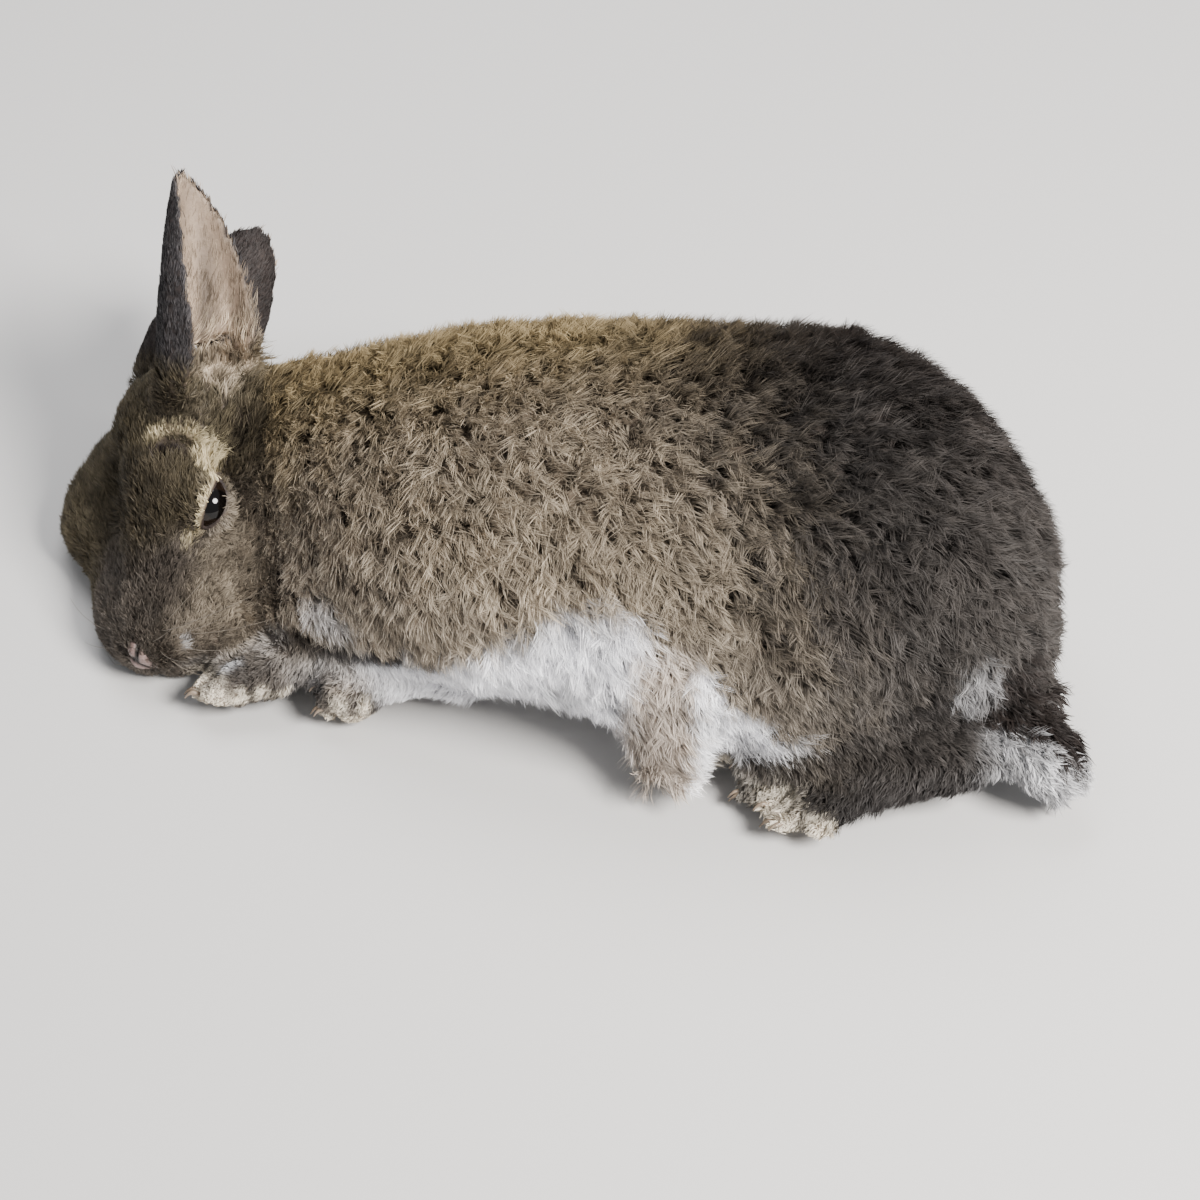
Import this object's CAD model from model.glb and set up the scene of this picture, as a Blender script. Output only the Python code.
"""A small brown rabbit at life size, lying on its right flank.

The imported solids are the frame: they give the outline out to the coat's tips. This script makes what shows: one
skin inside them, eyes with lids, a nose, claws and whiskers, and a coat of short locks that follow its lie.
Metres, +Z up. The hindquarters point along +X, and the belly and feet face -Y.
"""
import math
from dataclasses import dataclass

import bmesh
import bpy
import numpy as np
from mathutils import Matrix, Vector
from mathutils.bvhtree import BVHTree


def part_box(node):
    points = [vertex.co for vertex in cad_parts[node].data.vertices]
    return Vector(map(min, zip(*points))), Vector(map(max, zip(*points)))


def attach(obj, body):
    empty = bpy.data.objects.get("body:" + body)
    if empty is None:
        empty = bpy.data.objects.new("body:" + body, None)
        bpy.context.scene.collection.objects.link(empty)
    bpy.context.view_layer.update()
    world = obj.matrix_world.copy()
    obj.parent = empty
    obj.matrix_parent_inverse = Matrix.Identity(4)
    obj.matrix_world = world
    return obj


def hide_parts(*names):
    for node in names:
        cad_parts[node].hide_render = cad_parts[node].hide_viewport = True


bl_info = {
    "name": "Lying rabbit",
    "version": (1, 0, 0),
    "blender": (4, 5, 0),
    "location": "3D View > Sidebar > Rabbit",
    "description": "Skin, eyes, claws, whiskers and coat of a small lying rabbit",
    "category": "Add Mesh",
}

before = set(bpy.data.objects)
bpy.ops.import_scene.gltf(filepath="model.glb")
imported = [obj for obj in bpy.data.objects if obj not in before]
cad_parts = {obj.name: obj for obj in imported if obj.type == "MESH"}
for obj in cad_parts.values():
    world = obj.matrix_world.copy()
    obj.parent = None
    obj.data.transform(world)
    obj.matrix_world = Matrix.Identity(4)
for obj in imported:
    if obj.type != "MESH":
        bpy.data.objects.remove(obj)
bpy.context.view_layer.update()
MM = 0.001


@dataclass
class Fur:
    """The coat over one solid of flesh."""
    depth: float  # how far the skin lies inside the solid, mm
    hair: float  # length of its hairs, mm
    lie: tuple  # roughly the way they point, in the row frame


@dataclass
class Toes:
    """The toes of one foot, in the row frame, mm."""
    root: tuple  # where their middle lines spread from
    tip: tuple  # where the longest one ends
    across: tuple  # the way from the inner toe to the outer
    pitch: float  # from one toe to the next
    short: tuple  # how far each stops short of the tip


@dataclass
class Ear:
    """One ear, a trough that narrows to a rounded tip."""
    root: tuple  # its root's middle, on the head, mm
    axis: tuple  # its own direction
    opening: tuple  # the way its trough opens
    taper: float  # the lower, the rounder the tip


@dataclass
class Eye:
    """One eye's directions on the head."""
    out: tuple  # where the middle of its opening lies
    long: tuple  # from the back corner to the front one
    open: float  # how far its lids are open


HEAD_LIE = (0.35, 0.86, 0.35)
FLESH = {
    "head": Fur(2.6, 5.0, HEAD_LIE),
    "nose": Fur(0.5, 1.2, HEAD_LIE),
    "neck": Fur(6.2, 9.8, (1.0, -0.1, -0.2)),
    "trunk": Fur(6.5, 10.0, (1.0, 0.0, 0.0)),
    "thigh_left": Fur(6.2, 9.8, (0.8, -0.2, -0.6)),
    "shank_left": Fur(3.4, 6.0, (0.75, -0.2, -0.3)),
    "foot_left": Fur(1.9, 3.4, (-0.95, -0.25, -0.2)),
    "shank_right": Fur(3.4, 6.0, (0.75, -0.2, -0.3)),
    "foot_right": Fur(1.9, 3.4, (-0.95, -0.25, -0.1)),
    "forearm_left": Fur(2.4, 4.6, (-0.9, -0.35, -0.25)),
    "paw_left": Fur(1.3, 2.4, (-0.95, -0.15, -0.25)),
    "forearm_right": Fur(2.4, 4.6, (-0.95, -0.05, -0.15)),
    "paw_right": Fur(1.3, 2.4, (-0.9, -0.4, -0.3)),
    "tail": Fur(5.5, 10.0, (0.6, -0.6, -0.5)),
    "ear_left": Fur(0.15, 3.0, (0.094, 0.6, 0.79)),
    "ear_right": Fur(0.15, 3.0, (0.36, 0.89, 0.25)),
}
NAMES = list(FLESH)
HIND_FEET = ("foot_left", "foot_right")
PAWS = ("paw_left", "paw_right")
FACE = ("head", "nose")
BARREL = ("trunk", "neck", "thigh_left")
SHANKS = ("shank_left", "shank_right")
LEGS = (*SHANKS, *HIND_FEET, "forearm_left", "forearm_right", *PAWS)
TOED = {
    "foot_left": Toes((65.5, -73.8, 11.6), (49, -78, 8), (0.18, -0.9, -0.15), 6.2, (1, -2, 0, 10)),
    "foot_right": Toes((59.5, -65.2, 8.9), (43, -70, 8), (0.18, -0.9, -0.15), 6.2, (1, -2, 0, 10)),
    "paw_left": Toes((-109.5, -27.8, 10), (-121, -28.5, 7), (0.25, -0.75, 0.45), 5, (3, 0, 0, 3)),
    "paw_right": Toes((-73, -29.5, 9), (-82, -32, 6), (0.85, -0.5, 0.1), 5, (3, 0, 0, 3)),
}
TOE_REACH = 0.028  # a foot's toes lie within this of their tip
TOE_RADIUS = (0.0055, 0.0075)  # where a toe's hold on the skin fades out
TOE_GAP = 0.0014  # half width of the groove between two toes
EARS = {
    "ear_left": Ear((-23.1, -6.7, 16.3), (0.094, 0.6, 0.79), (0.87, -0.43, 0.23), 0.58),
    "ear_right": Ear((-27, -14.7, 12.7), (0.36, 0.89, 0.25), (-0.25, 0.35, -0.9), 0.42),
}
EAR_LENGTH = 0.073
EAR_HALF = 0.019  # half its width
EAR_PALE = -0.62  # where across the trough its pale streak runs, in halves of its width
SPINE_SIDE = Vector((0, 0.87, 0.5))  # the way that the back faces

# ---------- landmarks on the head, mm: forward, left and up from between the eyes ----------
EYES = {
    "eye_left": Eye((0.155, 0.985, 0.065), (0.945, -0.216, -0.248), 1.0),
    "eye_right": Eye((0.2, -0.75, 0.63), (0.9, 0.3, -0.1), 0.35),
}
UPPER_ROOM, LOWER_ROOM = 1.3, 0.85  # how much the opening spreads to the upper and the lower lid
NOSE_PAD = (49.5, 0.6, -11.5)
PAD_RADII = (6.5, 3.6, 6.6)
NOSE_DROP = math.radians(13.7)  # the nose is this far below the eyes' level
HAIR_ORIGIN = (62.0, 0, -12)  # before the nose: the hairs of the head run away from here

# how softly one solid's share of the skin gives way to the next one's, m
NARROW = 0.002
WIDE = 0.010


def srgb(*values):
    """A colour given as 0-255 values, as the linear values that shaders use."""
    return tuple(c / 255 / 12.92 if c < 10.3 else ((c / 255 + 0.055) / 1.055) ** 2.4 for c in values)


def colour_property(name, description, colour):
    return bpy.props.FloatVectorProperty(
        name=name, description=description, subtype="COLOR", size=3, min=0, max=1, default=colour
    )


def length_property(name, description, value):
    return bpy.props.FloatProperty(name=name, description=description, unit="LENGTH", default=value, min=0)


def angle_property(name, description, degrees):
    return bpy.props.FloatProperty(
        name=name, description=description, subtype="ANGLE", default=math.radians(degrees)
    )


def count_property(name, description, value, least=10):
    return bpy.props.IntProperty(name=name, description=description, default=value, min=least)


class RabbitShape(bpy.types.PropertyGroup):
    """Sizes of the skin, the eyes and the small pieces."""
    skin_cell: length_property("Skin cell", "Edge of the skin's faces", 0.0014)
    eye_radius: length_property("Eye radius", "Radius of each eyeball", 0.0079)
    lid_thickness: length_property("Lid thickness", "How far a lid's edge stands off the eyeball", 0.0009)
    opening_length: length_property("Eye opening", "Length of the opening between the lids", 0.0146)
    opening_width: length_property("Eye opening width", "Width of the opening between the lids", 0.0043)
    claw_length: length_property("Claw length", "Length of a claw", 0.0048)
    whisker_length: length_property("Whisker length", "Length of the longest whiskers", 0.034)


class RabbitCoat(bpy.types.PropertyGroup):
    """Make-up of the coat."""
    body_locks: count_property("Body locks", "Locks on the trunk, neck and thigh", 21000)
    head_locks: count_property("Head locks", "Small locks on the head", 24000)
    limb_locks: count_property("Leg locks", "Small locks on the legs", 13000)
    ear_locks: count_property("Ear locks", "Small locks on the ears' backs", 7000)
    tail_locks: count_property("Tail locks", "Locks on the tail", 1800)
    seed: count_property("Seed", "Start of the random draws of the coat and the whiskers", 7, 0)


class RabbitColours(bpy.types.PropertyGroup):
    """Colours of the coat's markings, the skin and the eyes."""
    back: colour_property("Back", "Golden brown of the back and nape", srgb(158, 141, 108))
    flank: colour_property("Flank", "Grey tan of the flank", srgb(168, 154, 134))
    low_flank: colour_property("Low flank", "Lighter tan above the belly", srgb(170, 158, 142))
    rump: colour_property("Rump", "Dark grey brown of the rump and thigh", srgb(66, 62, 59))
    foot: colour_property("Foot", "Dark grey brown of the hind feet", srgb(46, 43, 42))
    belly: colour_property("Belly", "White of the belly and tail", srgb(252, 252, 255))
    fold: colour_property("Flank fold", "Cream tan of the fold before the thigh", srgb(194, 182, 170))
    face: colour_property("Face", "Grey brown of the face", srgb(84, 77, 70))
    cheek: colour_property("Cheek", "Lighter grey brown under the eye", srgb(148, 136, 119))
    crown: colour_property("Crown", "Olive brown of the crown and neck's fold", srgb(84, 76, 60))
    ring: colour_property("Eye ring", "Cream of the fur that rings the eye", srgb(228, 212, 172))
    toes: colour_property("Toes", "Cream of the toes", srgb(226, 216, 198))
    ear_back: colour_property("Ear back", "Dark grey of the ear's back", srgb(62, 59, 60))
    ear_inside: colour_property("Ear inside", "Pink tan of the ear's inside", srgb(142, 124, 107))
    ear_down: colour_property("Ear down", "Fawn of the down inside the ear", srgb(146, 129, 112))
    ear_wisp: colour_property("Ear wisp", "Cream of the hairs inside the ear", srgb(226, 206, 180))
    nose: colour_property("Nose", "Pink of the nose", srgb(104, 85, 81))
    rim: colour_property("Lid rim", "Dark rim of the lids", srgb(34, 27, 24))
    iris: colour_property("Iris", "Dark brown of the iris", srgb(22, 15, 11))


class RabbitStage(bpy.types.PropertyGroup):
    """The camera and the light."""
    elevation: angle_property("Elevation", "Height of the camera above the horizon", 48)
    distance: length_property("Distance", "From the camera to its aim", 0.767)
    field: angle_property("Field of view", "Angle of view across the frame", 26)
    aim: bpy.props.FloatVectorProperty(
        name="Aim", description="Where the camera looks", subtype="TRANSLATION", unit="LENGTH",
        default=(0.0, -0.0175, 0.0342),
    )
    floor_colour: colour_property("Floor", "Pale grey of the floor", (0.54, 0.53, 0.52))


def settings(name):
    return getattr(bpy.context.scene, "rabbit_" + name)


# ---------- small helpers ----------
def smooth(low, high, value):
    """0 below low, 1 above high, and an even curve between."""
    t = np.clip((value - low) / (high - low), 0, 1)
    return t * t * (3 - 2 * t)


def fade(low, high, value):
    """1 below low, 0 above high."""
    return 1 - smooth(low, high, value)


def bell(value, half):
    """1 where value is 0, falling away on both sides over about half."""
    return np.exp(-((value / half) ** 2))


def unit(vectors):
    vectors = np.asarray(vectors, float)
    return vectors / np.maximum(np.linalg.norm(vectors, axis=-1, keepdims=True), 1e-12)


def wave(points, scale, seed):
    """A smooth random value between -1 and 1 at points, from a few sine waves."""
    draw = np.random.default_rng(seed)
    total = np.zeros(len(points))
    for _ in range(6):
        way = unit(draw.normal(size=3)) * 2 * math.pi / scale * draw.uniform(0.6, 1.5)
        total += np.sin(points @ way + draw.uniform(0, 2 * math.pi))
    return total / 3.0


def tinted(colour, tint, amount):
    """Colours moved towards a tint, each by its own amount."""
    return colour + (np.array(tint) - colour) * np.clip(amount, 0, 1)[:, None]


def read(items, key, width, kind=float):
    """A property of each of a mesh's vertices, edges or the like, as the rows of an array."""
    out = np.empty(len(items) * width, kind)
    items.foreach_get(key, out)
    return out.reshape(-1, width)


def coords(mesh):
    return read(mesh.vertices, "co", 3)


def normals(mesh):
    return read(mesh.vertices, "normal", 3)


def edges(mesh):
    return read(mesh.edges, "vertices", 2, int)


def put_coords(mesh, co):
    mesh.vertices.foreach_set("co", co.ravel())
    mesh.update()


def relax(values, pairs, steps, share, keep=False):
    """Moves each vertex's values towards its neighbours', by its own share. keep pushes them back each time, which
    holds the volume."""
    count = np.bincount(pairs.ravel(), minlength=len(values))[:, None]
    for _ in range(steps):
        for push in (1, -1.04) if keep else (1,):
            total = np.empty_like(values)
            for k in range(values.shape[1]):
                total[:, k] = np.bincount(pairs[:, 0], values[pairs[:, 1], k], len(values))
                total[:, k] += np.bincount(pairs[:, 1], values[pairs[:, 0], k], len(values))
            values = values + push * share * (total / count - values)
    return values


def new_object(name, mesh):
    made = bpy.data.objects.new(name, mesh)
    bpy.context.scene.collection.objects.link(made)
    return made


def finish_piece(piece, material, replaced=()):
    piece.data.materials.clear()
    piece.data.materials.append(material)
    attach(piece, "root")
    if replaced:
        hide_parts(*replaced)


def shade_smooth(mesh):
    mesh.polygons.foreach_set("use_smooth", np.ones(len(mesh.polygons), bool))
    mesh.update()


def put_attribute(mesh, name, values):
    """Stores a number or a colour for each vertex."""
    values = np.asarray(values, float)
    if values.ndim == 2:
        layer = mesh.attributes.new(name, "FLOAT_COLOR", "POINT")
        layer.data.foreach_set("color", np.column_stack([values, np.ones(len(values))]).ravel())
    else:
        layer = mesh.attributes.new(name, "FLOAT", "POINT")
        layer.data.foreach_set("value", values)


def remesh(mesh, cell):
    """The mesh made anew with even square faces."""
    made = new_object("remeshing", mesh)
    step = made.modifiers.new("Remesh", "REMESH")
    step.mode = "VOXEL"
    step.voxel_size = cell
    step.adaptivity = 0
    out = bpy.data.meshes.new_from_object(made.evaluated_get(bpy.context.evaluated_depsgraph_get()))
    bpy.data.objects.remove(made)
    return out


def mesh_of(made, name):
    """The finished mesh of a bmesh, smooth shaded."""
    mesh = bpy.data.meshes.new(name)
    made.to_mesh(mesh)
    made.free()
    shade_smooth(mesh)
    return mesh


# ---------- the head's own frame ----------
def centre(node):
    low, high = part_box(node)
    return (low + high) / 2


class HeadFrame:
    """Forward, left and up of the head, and the point midway between the eyes."""

    def __init__(self):
        left_eye, right_eye = centre("eye_left"), centre("eye_right")
        self.middle = (left_eye + right_eye) / 2
        left = (left_eye - right_eye).normalized()
        ahead = centre("nose") - self.middle
        ahead = (ahead - ahead.dot(left) * left).normalized()
        forward = ahead * math.cos(NOSE_DROP) + ahead.cross(left) * math.sin(NOSE_DROP)
        self.turn = np.array([forward, left, forward.cross(left)])

    def place(self, forward, left, up):
        """A point given on the head, mm, in the row frame."""
        return np.array(self.middle) + MM * (np.array([forward, left, up]) @ self.turn)

    def direction(self, forward, left, up):
        return unit((forward, left, up)) @ self.turn

    def local(self, points):
        """Points of the row frame as forward, left and up on the head, mm."""
        return ((points - np.array(self.middle)) @ self.turn.T) / MM


HEAD = HeadFrame()


def toe_lines(foot):
    """The middle lines of a foot's toes in the row frame, m, each as start and end."""
    root, tip = np.array(foot.root, float), np.array(foot.tip, float)
    across, along = unit(foot.across), unit(tip - root)
    lines = []
    for k, short in enumerate(foot.short):
        off = (k - (len(foot.short) - 1) / 2) * foot.pitch
        lines.append((MM * (root + across * off * 0.6), MM * (tip + across * off - along * short)))
    return lines


def toe_facts(points):
    """For points near the toes: 1 on the toes, 1 in the gaps between them, and which way their toe points."""
    toes, gaps, ways = np.zeros(len(points)), np.zeros(len(points)), np.zeros((len(points), 3))
    for foot in TOED.values():
        near = np.flatnonzero(np.linalg.norm(points - MM * np.array(foot.tip), axis=1) < TOE_REACH)
        part = points[near]
        distances, runs = [], []
        for start, end in toe_lines(foot):
            line = end - start
            run = np.clip((part - start) @ line / (line @ line), 0, 1.25)
            distances.append(np.linalg.norm(part - start - run[:, None] * line, axis=1))
            runs.append(run)
        order = np.argsort(distances, axis=0)
        first, second = (np.take_along_axis(np.array(distances), order[k:k + 1], 0)[0] for k in (0, 1))
        run = np.take_along_axis(np.array(runs), order[:1], 0)[0]
        on = smooth(0.15, 0.5, run) * fade(*TOE_RADIUS, first)
        toes[near] = np.maximum(toes[near], on)
        gaps[near] = np.maximum(gaps[near], on * bell(second - first, TOE_GAP))
        ways[near] += on[:, None] * unit(line)
    return toes, gaps, ways


class EyeFrame:
    """One eye's centre and its long, cross and outward directions."""

    def __init__(self, node):
        self.centre = np.array(centre(node))
        self.open = EYES[node].open
        out, long = unit(EYES[node].out), np.array(EYES[node].long)
        long = unit(long - out * (long @ out))
        self.axes = np.array([long, np.cross(out, long), out]) @ HEAD.turn

    def local(self, points):
        return (points - self.centre) @ self.axes.T


class EarFrame:
    """One ear's root and directions in the row frame."""

    def __init__(self, node):
        self.taper = EARS[node].taper
        self.root = HEAD.place(*EARS[node].root)
        self.axis = unit(EARS[node].axis)
        opening = np.array(EARS[node].opening)
        self.opening = unit(opening - (opening @ self.axis) * self.axis)
        self.across = np.cross(self.axis, self.opening)

    def half_width(self, run):
        """Half the ear's width at a part of its length: narrow at the root, widest below the middle."""
        tip = (1 - (0.997 * np.clip(run, 0, 1)) ** 2.6) ** self.taper
        return EAR_HALF * (0.35 + 0.65 * np.clip(run / 0.3, 0, 1)) * tip

    def off_axis(self, points):
        """Points as vectors from the nearest place on a line through the origin along the ear."""
        return points - (points @ self.axis)[:, None] * self.axis


# ---------- the skin ----------
SWELL = 0.00045  # closes the thin cuts between the solids, and comes off again with the coat's depth
SINK_STEPS = 8
TOE_GROOVE, TOE_SWELL = 0.0024, 0.0010  # how deep the grooves between the toes are, and how far the toes rise
SKIN_CLEAR = 0.0006  # the skin's height above the floor
LID_ZONE = 0.016  # the skin this near to an eye's centre is eased once more when the lids are made


def merged_flesh(swell):
    """The solids of flesh and the eyes as one mesh, swollen to close the thin cuts between them."""
    whole = bmesh.new()
    for name in NAMES + list(EYES):
        part = bmesh.new()
        part.from_mesh(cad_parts[name].data)
        bmesh.ops.remove_doubles(part, verts=part.verts, dist=1e-6)
        part.normal_update()
        for vertex in part.verts:
            vertex.co += vertex.normal * swell
        copy = bpy.data.meshes.new("part")
        part.to_mesh(copy)
        part.free()
        whole.from_mesh(copy)
        bpy.data.meshes.remove(copy)
    mesh = bpy.data.meshes.new("flesh")
    whole.to_mesh(mesh)
    whole.free()
    return mesh


class Regions:
    """How much each solid of flesh owns a point, from its distance to each."""

    def __init__(self):
        self.trees = []
        for name in NAMES:
            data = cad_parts[name].data
            data.calc_loop_triangles()
            corners = [vertex.co for vertex in data.vertices]
            self.trees.append(BVHTree.FromPolygons(corners, [tri.vertices for tri in data.loop_triangles]))

    def shares(self, points, soft=0.003):
        vectors = [Vector(point) for point in points]
        gaps = np.array([[tree.find_nearest(point)[3] for point in vectors] for tree in self.trees]).T
        weights = np.exp(-(gaps - gaps.min(1, keepdims=True)) / soft)
        return weights / weights.sum(1, keepdims=True)


def share_of(shares, *names):
    return shares[:, [NAMES.index(name) for name in names]].sum(1)


def blended(shares, key):
    return shares @ np.array([getattr(fur, key) for fur in FLESH.values()], float)


def fur_blend(shares):
    """1 where neighbouring lengths of fur run into each other, 0 on the ears, paws and nose."""
    return 1 - share_of(shares, *EARS, *PAWS, "nose")


def face_fade(points, shares):
    """How long the hairs of the head are at points, from short on the nose to long on the nape, else 1."""
    forward = HEAD.local(points)[:, 0]
    return 1 + share_of(shares, *FACE) * (0.95 * fade(-32, 26, forward) - 0.25)


def lid_height(shape, eye, run, upper):
    """How far the opening reaches from its long middle line, at a part of its half length from the middle."""
    half = shape.opening_width / 2 * eye.open * np.sqrt(1 - run * run) ** 1.35 * (1 + 0.12 * run)
    return half * np.where(upper, UPPER_ROOM, LOWER_ROOM)


def almond(shape, eye, steps=96):
    """The opening between the lids, as a closed loop in an eye's long and cross directions."""
    turn = np.linspace(0, 2 * math.pi, steps, endpoint=False)
    run, rise = np.cos(turn), np.sin(turn)
    height = np.sign(rise) * lid_height(shape, eye, run, rise < 0)
    return np.column_stack([shape.opening_length / 2 * run, height])


def opening_distance(local, shape, eye):
    """Distance of points from the lids' edge, measured on the eyeball: negative in the opening."""
    loop = almond(shape, eye)
    flat = unit(local)[:, :2] * shape.eye_radius
    gaps = np.linalg.norm(flat[:, None] - loop[None], axis=2).min(1)
    run = flat[:, 0] / (shape.opening_length / 2)
    height = lid_height(shape, eye, np.clip(run, -1, 1), flat[:, 1] < 0)
    inside = (np.abs(run) < 1) & (np.abs(flat[:, 1]) < height)
    return np.where(inside, -gaps, gaps)


def shape_lids(co, shape):
    """Wraps the skin round each eyeball and opens it between the lids."""
    ball = shape.eye_radius
    for node in EYES:
        eye = EyeFrame(node)
        local = eye.local(co)
        radius = np.linalg.norm(local, axis=1)
        near = np.flatnonzero((radius < 2.2 * ball) & (local[:, 2] > -0.6 * ball))
        part, own = local[near], radius[near]
        gap = opening_distance(part, shape, eye)
        lid = ball + shape.lid_thickness * (0.35 + 0.65 * smooth(0, 0.0012, gap))
        crease = 0.0006 * bell(gap - 0.0042, 0.0009)
        blend = smooth(0.0018, 0.0085, gap)  # from the lid out to the skin as it was
        outer = np.maximum(lid * (1 - blend) + own * blend, ball + 0.0006) - crease
        inner = ball - 0.0018 * smooth(0, 0.0007, -gap)  # under the eyeball's surface
        target = np.where(gap < 0, inner, outer)
        target = own + (target - own) * smooth(-0.55, -0.15, part[:, 2] / ball)
        co[near] = eye.centre + (part * (target / own)[:, None]) @ eye.axes
    return co


def curve_points(points, steps=12):
    """A smooth line through a few points, as an array."""
    points = np.array(points, float)
    padded = np.vstack([2 * points[0] - points[1], points, 2 * points[-1] - points[-2]])
    out = []
    for k in range(len(points) - 1):
        a, b, c, d = padded[k:k + 4]
        for t in np.linspace(0, 1, steps, endpoint=False):
            out.append(0.5 * (2 * b + (c - a) * t + (2 * a - 5 * b + 4 * c - d) * t ** 2
                              + (3 * b - a - 3 * c + d) * t ** 3))
    out.append(points[-1])
    return np.array(out)


def at_height(points, height):
    """Head points moved out or in to a height above the head's middle, and how far beyond HAIR_ROOM they went."""
    own = np.linalg.norm(points, axis=1)
    flat = points * (height / np.maximum(own, 1e-6))[:, None]
    return flat, np.maximum(np.abs(own - height) - HAIR_ROOM, 0)


def line_distance(points, line):
    """Distance on the head of points from a smooth line, whatever their height, mm."""
    out = np.full(len(points), 1e3)
    path = curve_points(line)
    height = np.linalg.norm(path, axis=1).mean()
    far = np.linalg.norm(points - path.mean(0), axis=1)
    near = np.flatnonzero(far < np.ptp(path, axis=0).max() + 14)
    flat, over = at_height(points[near], height)
    gaps = np.linalg.norm(flat[:, None] - (unit(path) * height)[None], axis=2).min(1)
    out[near] = np.hypot(gaps, over)
    return out


def head_spot(points, middle, radii):
    """1 inside a spot on the head, 0 outside, whatever the points' height."""
    flat, over = at_height(points, np.linalg.norm(middle))
    return blob(flat, middle, radii, 0.6) * (over < 2)


HAIR_ROOM = 5  # mm: a mark on the head colours the hairs and skin as far as this above and below it
BROW = [(-11.3, 6.5, 18.2), (-12.9, 10.4, 16.9), (-13.6, 14, 15), (-13.4, 16.8, 13.2)]
EAR_FOLD = [(-25.4, 28.6, 7.1), (-22.8, 27.7, 6.9), (-20.4, 25.5, 7.5), (-18.5, 25.5, 6.3)]
# pale and dark lines of the face's coat, on the head, mm: their line, half width, colour and strength
STROKES = [
    ([(-12.9, 2.1, 20.3), (-15.2, 5.9, 19.1), (-16.7, 11.4, 16.8), (-17.2, 15.7, 15)], 1.5, "ring", 0.65),
    ([(-17.2, 15.7, 15), (-16.1, 18.8, 12), (-12.5, 21.4, 8)], 2.1, "ring", 0.75),
    ([(-12.5, 21.4, 8), (-8.5, 22.2, 5.2), (-4.1, 21.9, 4.5)], 2.1, "ring", 0.8),
    ([(-4.1, 21.9, 4.5), (0.8, 21.8, 5.2), (4.5, 21.5, 4.5)], 1.3, "ring", 0.85),
    ([(4.5, 21.5, 4.5), (7.2, 19.7, 2.0), (10.2, 18.2, -1.7), (12.9, 17.8, -4.3)], 1.1, "ring", 0.75),
    (BROW, 2.0, "rim", 1.0),
    ([(-9.3, 6.9, 18.1), (-10.8, 10.6, 16.6), (-11.7, 14.1, 14.8), (-11.9, 16.6, 13.2)], 1.7, "rim", 1.0),
    (EAR_FOLD, 2.0, "rim", 0.9),
]
WISPS = [
    ([(-44, 6, 16.5), (-38, 11, 15), (-33.5, 14, 14)], 1.3),
    ([(-43, 15, 12.5), (-38, 19, 11.5), (-33.5, 21, 11)], 1.4),
]
# spots of the face's coat, on the head, mm: middle, radius, colour and strength
SPOTS = [
    ((5.3, 17.5, 10.4), 1.5, "rim", 0.55), ((9.5, 17.0, 6.1), 1.3, "rim", 0.5),
    ((0.5, 14.5, 14.3), 1.5, "rim", 0.4), ((38.4, 14.9, -15.7), 1.3, "belly", 0.4),
    ((4, 2, 14.5), (17, 17, 8), "rim", 0.36), ((-5, -22, 5.5), (26, 14, 18), "rim", 0.3),
    ((24, 13, -2.5), (9, 7, 8), "rim", 0.25), ((12, 9, 9.5), 2.2, "rim", 0.35), ((20, 7, 4), 2.5, "rim", 0.3),
]
# grooves of the face, on the head, mm: their line, depth and half width, and whether the other side has one too
GROOVES = [
    (BROW, 1.8, 1.0, False),
    (EAR_FOLD, 2.0, 1.2, False),
    ([(50.5, 0, -10), (49.5, 0, -14), (46, 0, -18.5)], 1.3, 0.7, False),  # from the nose to the mouth
    ([(46, 0, -18.5), (42, 5, -20.5), (35, 9.5, -21.5)], 1.3, 0.8, True),  # the mouth
    ([(50, 1, -10.5), (49.5, 2.6, -8.6), (47.5, 4.6, -7.2)], 1.5, 0.65, True),  # the nostrils
]


def groove_depth(co):
    """How deep the face's grooves are at points, in metres."""
    local = HEAD.local(co)
    deep = np.zeros(len(co))
    for line, depth, half, mirrored in GROOVES:
        for side in (1, -1)[:1 + mirrored]:
            gaps = line_distance(local, np.array(line, float) * (1, side, 1))
            deep = np.maximum(deep, depth * bell(gaps, 1.6 * half))
    return deep * MM


def refine(mesh, spots):
    """Finer faces within a distance of some points."""
    fine = bmesh.new()
    fine.from_mesh(mesh)
    for point, reach in spots:
        middle = Vector(point)
        chosen = [edge for edge in fine.edges if all((v.co - middle).length < reach for v in edge.verts)]
        bmesh.ops.subdivide_edges(fine, edges=chosen, cuts=1, use_grid_fill=True)
    fine.to_mesh(mesh)
    fine.free()


def fur_measure(key, co, shares, wide):
    """A measure of the fur, m, that runs evenly from one part of the body to the next."""
    mixing = fur_blend(shares)
    value = blended(shares, key) * (1 - mixing) + blended(wide, key) * mixing
    return value * face_fade(co, wide) * MM


def sink_below_coat(mesh, regions):
    """Eases the joins of the solids, and sinks the skin by the coat's depth a little at a time."""
    co, pairs = coords(mesh), edges(mesh)
    shares = regions.shares(co)
    small = share_of(shares, *PAWS, *HIND_FEET, "nose")
    softness = (0.5 * (1 - 0.85 * share_of(shares, *EARS)) * (1 - 0.5 * small))[:, None]
    co = relax(co, pairs, 45, softness, keep=True)
    depth = fur_measure("depth", co, shares, regions.shares(co, WIDE)) + SWELL
    for _ in range(SINK_STEPS):
        put_coords(mesh, co)
        co = co - normals(mesh) * (depth / SINK_STEPS)[:, None]
        co = relax(co, pairs, 2, softness, keep=True)
    put_coords(mesh, co)


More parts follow.
